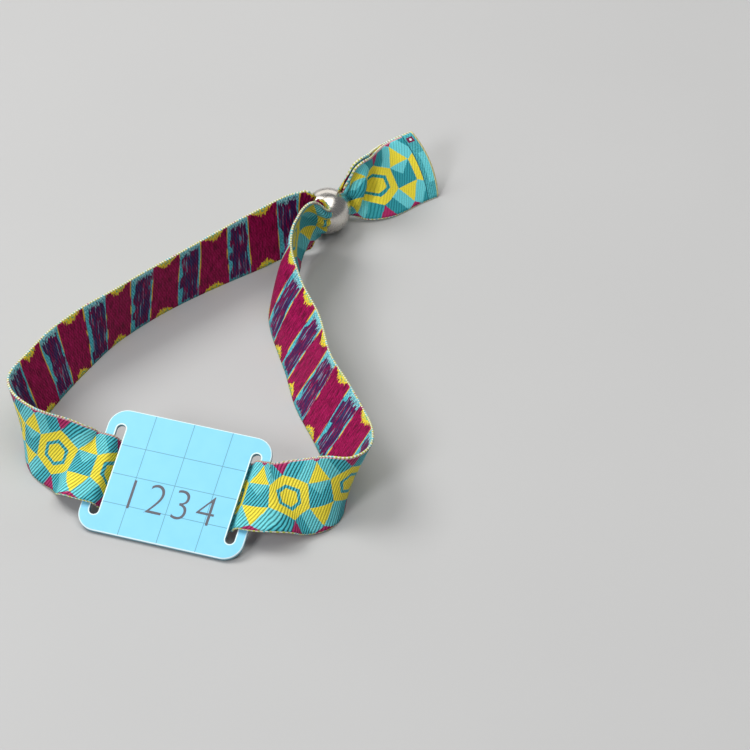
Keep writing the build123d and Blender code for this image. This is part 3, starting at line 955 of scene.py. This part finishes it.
def selvedge_colours(tree, strip, along, across):
    """Binding threads, mostly cream, with the pattern's own colours showing between them."""
    turn = step(tree, "PINGPONG", along, loop_pitch * 1000 / 2)
    blend = speckle(tree, strip, 0.5, 2.0, stretch=(1.0, 0.05, 1.0))
    ground = tint(tree, between(tree, blend, 0.42, 0.50), bound_teal, bound_olive)
    ground = tint(tree, between(tree, blend, 0.58, 0.64), ground, bound_maroon)
    return tint(tree, between(tree, turn, 0.10, 0.24), ground, cream)


binding = woven_finish("binding_threads", selvedge_colours, groove_shade=0.35, relief=0.00006)
selvedges = []
for name, j, inner in (("lower_selvedge", 0, 1), ("upper_selvedge", threads, threads - 1)):
    rings = round(band_length / loop_pitch) * rings_per_loop
    stops = np.linspace(end_gap, band_length - end_gap, rings + 1)
    found = points_at(stops)
    middle = found[:, j]
    beside = middle - found[:, inner]
    beside = beside / np.linalg.norm(beside, axis=1)[:, None]
    travel = np.gradient(middle, axis=0)
    out = np.cross(travel, beside)
    out = out / np.linalg.norm(out, axis=1)[:, None]
    swell = 0.82 + 0.18 * np.cos(2 * pi * np.arange(rings + 1) / rings_per_loop)
    swell[0] = swell[-1] = 0
    bpy.ops.object.select_all(action="DESELECT")
    bpy.ops.mesh.primitive_grid_add(x_subdivisions=rings, y_subdivisions=around, size=1)
    edge = named(name)
    cut = {}
    for vertex in edge.data.vertices:
        i, k = round((vertex.co.x + 0.5) * rings), round((vertex.co.y + 0.5) * around)
        cut[vertex.index] = (i, k)
        angle = 2 * pi * k / around
        offset = beside[i] * cos(angle) * thread_out + out[i] * sin(angle) * thread_face
        vertex.co = middle[i] + offset * swell[i]
    edge.data.uv_layers[0].name = "weave_mm"
    for loop in edge.data.loops:
        i, k = cut[loop.vertex_index]
        edge.data.uv_layers[0].data[loop.index].uv = (stops[i] * 1000, k * around_mm)
    bpy.ops.object.mode_set(mode="EDIT")
    bpy.ops.mesh.select_all(action="SELECT")
    bpy.ops.mesh.remove_doubles(threshold=1e-7)
    bpy.ops.mesh.normals_make_consistent(inside=False)
    bpy.ops.object.mode_set(mode="OBJECT")
    bpy.ops.object.shade_smooth()
    edge.data.materials.append(binding)
    selvedges.append(edge)

for piece in [band] + selvedges:
    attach(piece, "root")
    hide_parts("band")

# Table, lights and camera: a pale table top, a key light behind on the left, a weaker one in front on the
# left, a large soft one overhead and a wide one low behind. The camera looks down from the near side.
table_dark, table_light = (0.42, 0.42, 0.42), (0.45, 0.45, 0.45)
bpy.ops.object.select_all(action="DESELECT")
bpy.ops.mesh.primitive_plane_add(size=6, location=(0, 0, 0))
table = named("table_top")
paper, tree, shader = new_material("pale_table")
place = tree.nodes.new("ShaderNodeTexCoord").outputs["Object"]
tree.links.new(tint(tree, speckle(tree, place, 12.0), table_dark, table_light), shader.inputs["Base Color"])
shader.inputs["Roughness"].default_value = 0.75
table.data.materials.append(paper)


def area_light(name, location, target, size, power, colour):
    """A soft light that faces the target."""
    light = bpy.data.lights.new(name, "AREA")
    light.shape = "RECTANGLE"
    light.size, light.size_y = size
    light.energy = power
    light.color = colour
    lamp = bpy.data.objects.new(name, light)
    bpy.context.scene.collection.objects.link(lamp)
    lamp.location = location
    lamp.rotation_euler = (Vector(target) - Vector(location)).to_track_quat("-Z", "Y").to_euler()


area_light("key_light", (-0.55, 0.30, 0.85), (0, 0, 0), (0.60, 0.60), 8.5, (1.0, 0.99, 0.97))
area_light("front_light", (-0.55, -0.75, 0.70), (0, 0, 0), (0.30, 0.30), 5.6, (0.97, 0.98, 1.0))
area_light("overhead_light", (0.30, 0.02, 1.20), (0, 0, 0), (1.1, 0.9), 6.6, (1.0, 0.99, 0.96))
area_light("back_light", (0.05, 1.30, 0.55), (0, 0, 0), (1.6, 0.7), 4.0, (1.0, 0.98, 0.94))
world = bpy.data.worlds.new("studio")
world.use_nodes = True
world.node_tree.nodes["Background"].inputs["Color"].default_value = (0.93, 0.95, 1.0, 1.0)
world.node_tree.nodes["Background"].inputs["Strength"].default_value = 0.20
bpy.context.scene.world = world
bpy.context.scene.view_settings.view_transform = "Standard"

camera = bpy.data.cameras.new("photo_camera")
camera.sensor_width = 36.0
camera.lens = 215.136
camera.clip_start, camera.clip_end = 0.01, 20.0
view = bpy.data.objects.new("photo_camera", camera)
bpy.context.scene.collection.objects.link(view)
camera_tilt = 49.5
bead_on_table = np.array((0.0334, 0.1015, 0.005))
camera_on_table = np.array((0.0437798, -0.6577074, 0.6068179))
view.location = camera_on_table + bead_middle - bead_on_table
view.rotation_euler = (radians(camera_tilt), 0, 0)
bpy.context.scene.camera = view
